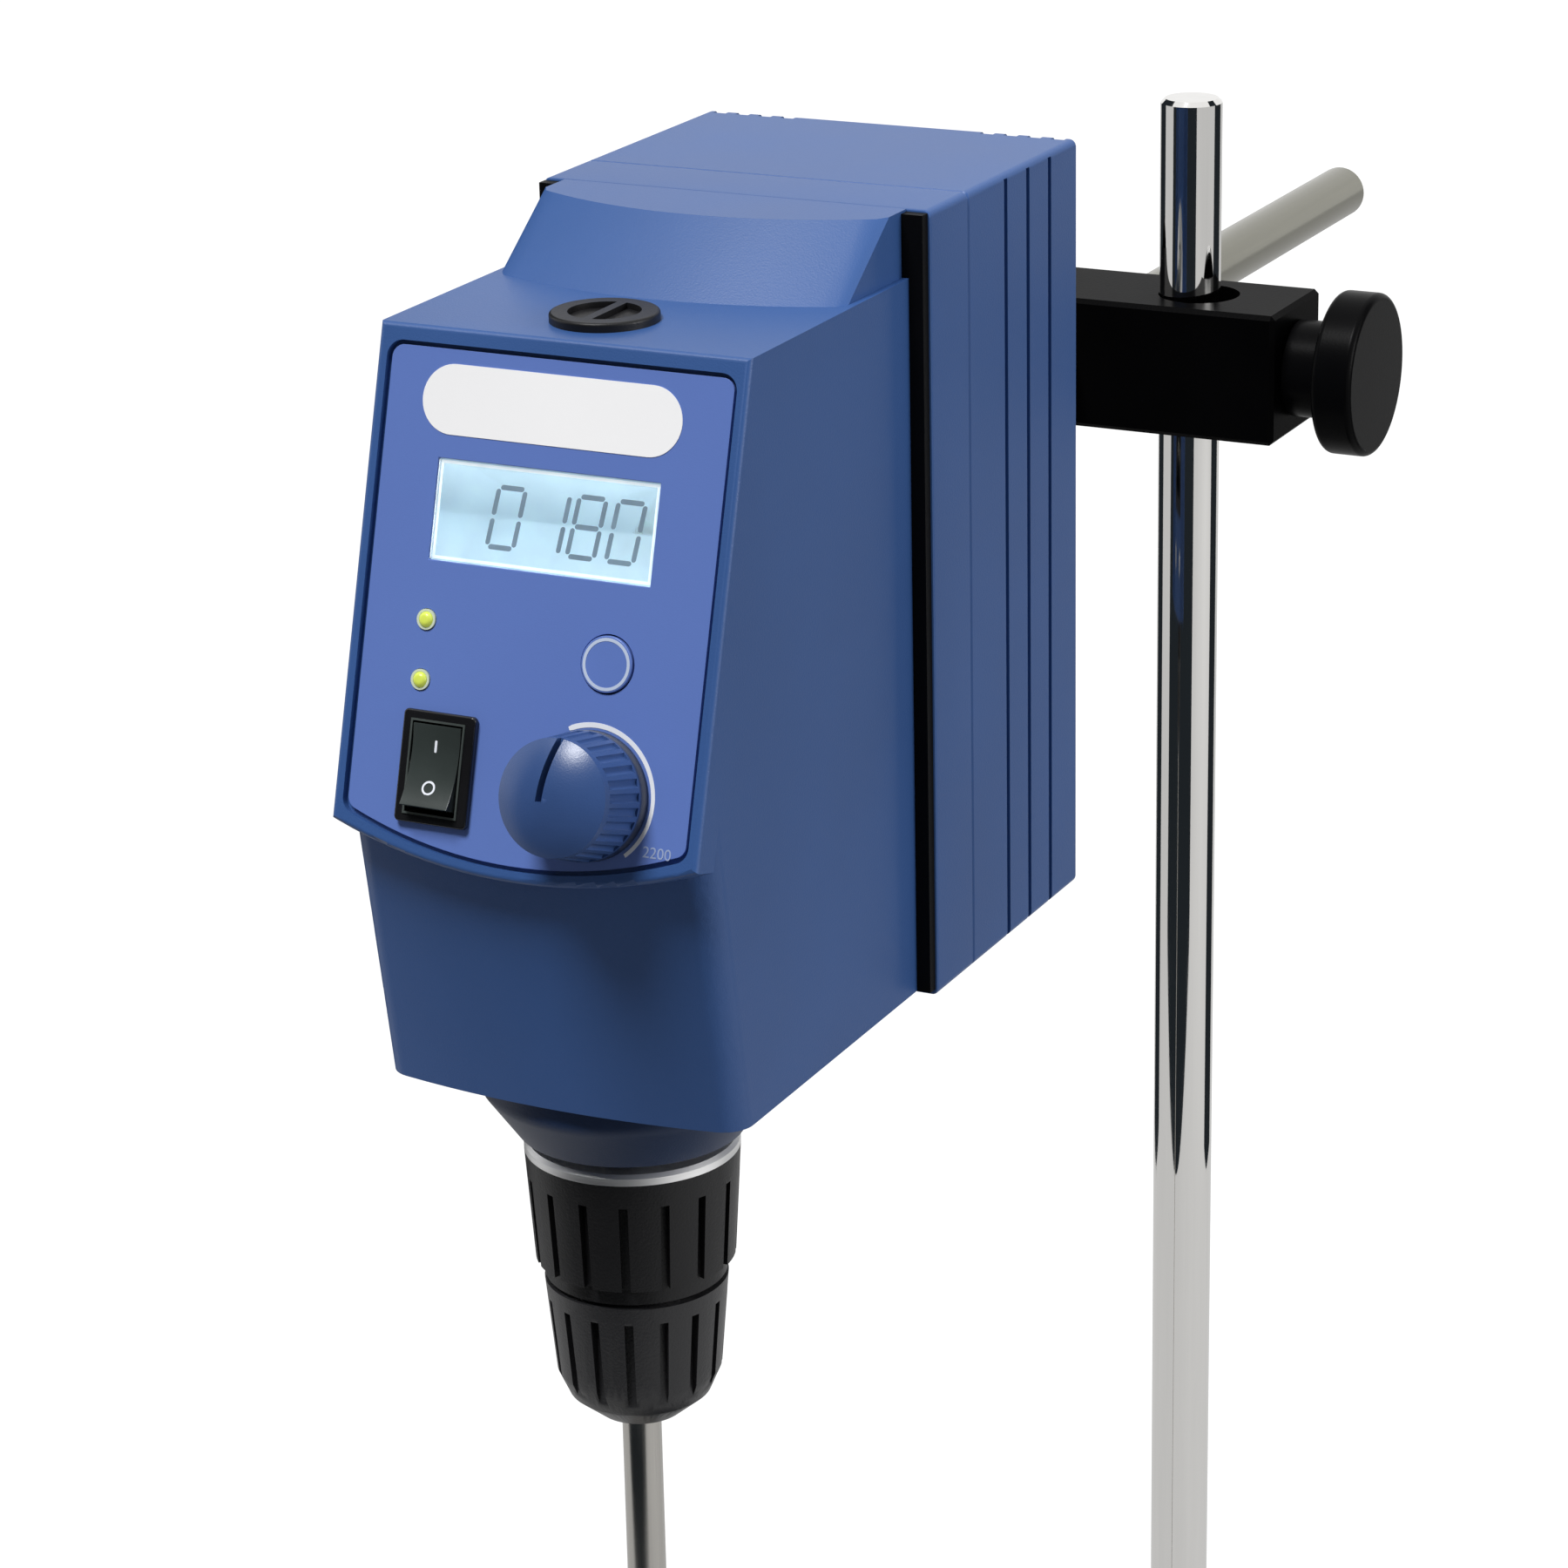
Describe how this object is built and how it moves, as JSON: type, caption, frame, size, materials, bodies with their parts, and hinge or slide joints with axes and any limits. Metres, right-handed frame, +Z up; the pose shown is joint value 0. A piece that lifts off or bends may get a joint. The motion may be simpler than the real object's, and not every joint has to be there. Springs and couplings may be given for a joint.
{
  "type": "overhead stirrer",
  "caption": "Overhead laboratory stirrer with a blue motor head, keyless chuck and propeller shaft, clamped by its rear arm to a rod stand with a flat base.",
  "frame": {"origin": "centre of the stand rod's foot, on the bench plane under the base plate", "axes": "+Z up along the stand rod, control panel facing -Y, +X to the right hand of someone who faces the panel"},
  "size_m": [0.22, 0.4625, 0.64],
  "materials": {
    "base_plate": "dark grey hammered enamel",
    "stand_rod": "polished chrome plating",
    "rod_nut": "plain steel",
    "boss_head": "satin black coating",
    "rod_clamp_screw": "plain steel",
    "rod_clamp_knob": "moulded black plastic",
    "arm_clamp_screw": "plain steel",
    "arm_clamp_knob": "moulded black plastic",
    "mounting_arm": "brushed stainless steel",
    "arm_flange": "turned aluminium",
    "arm_block": "milled aluminium",
    "front_housing": "fine textured blue moulding",
    "spacer_frame": "black moulding",
    "middle_housing": "fine textured blue moulding",
    "rear_cover": "fine textured blue moulding",
    "cover_screws": "plain steel pan heads",
    "power_inlet": "black moulding with metal blades",
    "control_panel": "printed satin foil",
    "display_window": "clear window",
    "display_module": "pale backlit liquid crystal cell",
    "display_board": "green circuit board",
    "status_lights": "yellow-green lenses",
    "mode_button": "printed satin key",
    "mode_switch": "black tact switch",
    "rocker_frame": "black moulding",
    "rocker": "glossy black moulding",
    "speed_knob": "satin dark blue moulding",
    "knob_shaft": "turned aluminium",
    "potentiometer": "pressed steel case",
    "top_cap": "black moulding",
    "gear_plate_lower": "milled aluminium",
    "gear_plate_upper": "milled aluminium",
    "plate_posts": "turned steel",
    "spindle_bearings": "ground bearing steel",
    "chuck_collar": "dark blue moulding",
    "spindle_gear": "cut brass",
    "idler_gear": "cut brass",
    "idler_pin": "ground steel",
    "motor_pinion": "cut steel",
    "motor_shaft": "ground steel",
    "motor_body": "dark painted steel can",
    "driver_board": "green circuit board",
    "spindle": "ground steel tube",
    "chuck_body": "turned steel",
    "chuck_ring": "bright turned ring",
    "rear_sleeve": "charcoal moulding",
    "front_sleeve": "charcoal moulding",
    "chuck_nut": "turned steel",
    "jaw_1": "ground steel",
    "jaw_2": "ground steel",
    "jaw_3": "ground steel",
    "stirring_shaft": "ground stainless steel",
    "propeller": "stainless steel"
  },
  "bodies": {
    "stand": {"base_plate": "base_plate", "stand_rod": "stand_rod", "rod_nut": "rod_nut"},
    "clamp": {"boss_head": "boss_head"},
    "rod_clamp": {"rod_clamp_screw": "rod_clamp_screw", "rod_clamp_knob": "rod_clamp_knob"},
    "arm_clamp": {"arm_clamp_screw": "arm_clamp_screw", "arm_clamp_knob": "arm_clamp_knob"},
    "head": {"mounting_arm": "mounting_arm", "arm_flange": "arm_flange", "arm_block": "arm_block", "front_housing": "front_housing", "spacer_frame": "spacer_frame", "middle_housing": "middle_housing", "rear_cover": "rear_cover", "cover_screws": "cover_screws", "power_inlet": "power_inlet", "control_panel": "control_panel", "display_window": "display_window", "display_module": "display_module", "display_board": "display_board", "status_lights": "status_lights", "mode_switch": "mode_switch", "rocker_frame": "rocker_frame", "potentiometer": "potentiometer", "gear_plate_lower": "gear_plate_lower", "gear_plate_upper": "gear_plate_upper", "plate_posts": "plate_posts", "spindle_bearings": "spindle_bearings", "chuck_collar": "chuck_collar", "idler_pin": "idler_pin", "motor_body": "motor_body", "driver_board": "driver_board"},
    "mode_key": {"mode_button": "mode_button"},
    "power_rocker": {"rocker": "rocker"},
    "speed_control": {"speed_knob": "speed_knob", "knob_shaft": "knob_shaft"},
    "cap": {"top_cap": "top_cap"},
    "drive_spindle": {"spindle": "spindle", "spindle_gear": "spindle_gear", "chuck_body": "chuck_body", "chuck_ring": "chuck_ring", "rear_sleeve": "rear_sleeve"},
    "idler": {"idler_gear": "idler_gear"},
    "motor": {"motor_shaft": "motor_shaft", "motor_pinion": "motor_pinion"},
    "chuck_sleeve": {"front_sleeve": "front_sleeve", "chuck_nut": "chuck_nut"},
    "jaw_a": {"jaw_1": "jaw_1"},
    "jaw_b": {"jaw_2": "jaw_2"},
    "jaw_c": {"jaw_3": "jaw_3"},
    "stirrer": {"stirring_shaft": "stirring_shaft", "propeller": "propeller"}
  },
  "joints": [
    {"name": "head_height", "type": "slide", "parent": "stand", "child": "clamp", "axis": [0, 0, 1], "range_m": [-0.03, 0.035]},
    {"name": "head_reach", "type": "slide", "parent": "clamp", "child": "head", "axis": [0, -1, 0], "range_m": [-0.04, 0.06]},
    {"name": "rod_clamp_turn", "type": "hinge", "parent": "clamp", "child": "rod_clamp", "pos_m": [0.03, 0, 0.569], "axis": [1, 0, 0], "range_deg": [0, 540]},
    {"name": "arm_clamp_turn", "type": "hinge", "parent": "clamp", "child": "arm_clamp", "pos_m": [-0.06, 0, 0.569], "axis": [-1, 0, 0], "range_deg": [0, 540]},
    {"name": "mode_press", "type": "slide", "parent": "head", "child": "mode_key", "axis": [0, 0.9588, -0.284], "range_m": [0, 0.0005], "stiffness_N_per_m": 400},
    {"name": "rocker_tilt", "type": "hinge", "parent": "head", "child": "power_rocker", "pos_m": [-0.0452, -0.2652, 0.54824], "axis": [1, 0, 0], "range_deg": [0, 18]},
    {"name": "speed_turn", "type": "hinge", "parent": "head", "child": "speed_control", "pos_m": [-0.0128, -0.26601, 0.54762], "axis": [0, 0.9588, -0.284], "range_deg": [-158.6, 129.4]},
    {"name": "cap_lift", "type": "slide", "parent": "head", "child": "cap", "axis": [0, 0, 1], "range_m": [0, 0.02]},
    {"name": "spindle_spin", "type": "hinge", "parent": "head", "child": "drive_spindle", "pos_m": [-0.028, -0.226, 0.5], "axis": [0, 0, 1], "continuous": true},
    {"name": "idler_spin", "type": "hinge", "parent": "head", "child": "idler", "pos_m": [-0.028, -0.1945, 0.5], "axis": [0, 0, 1], "continuous": true},
    {"name": "motor_spin", "type": "hinge", "parent": "head", "child": "motor", "pos_m": [-0.028, -0.166, 0.5], "axis": [0, 0, 1], "continuous": true},
    {"name": "sleeve_turn", "type": "hinge", "parent": "drive_spindle", "child": "chuck_sleeve", "pos_m": [-0.028, -0.226, 0.42], "axis": [0, 0, -1], "range_deg": [0, 721]},
    {"name": "jaw_a_slide", "type": "slide", "parent": "drive_spindle", "child": "jaw_a", "axis": [0, 0.2588, 0.9659], "range_m": [0, 0.0036]},
    {"name": "jaw_b_slide", "type": "slide", "parent": "drive_spindle", "child": "jaw_b", "axis": [-0.2241, -0.1294, 0.9659], "range_m": [0, 0.0036]},
    {"name": "jaw_c_slide", "type": "slide", "parent": "drive_spindle", "child": "jaw_c", "axis": [0.2241, -0.1294, 0.9659], "range_m": [0, 0.0036]},
    {"name": "shaft_slide", "type": "slide", "parent": "drive_spindle", "child": "stirrer", "axis": [0, 0, 1], "range_m": [-0.025, 0.14]}
  ],
  "couplings": [
    {"joint": "idler_spin", "follows": "spindle_spin", "ratio": -2.5},
    {"joint": "motor_spin", "follows": "spindle_spin", "ratio": 5.4167},
    {"joint": "sleeve_turn", "follows": "jaw_a_slide", "rad_per_m": 3490.7},
    {"joint": "jaw_b_slide", "follows": "jaw_a_slide", "ratio": 1},
    {"joint": "jaw_c_slide", "follows": "jaw_a_slide", "ratio": 1}
  ]
}
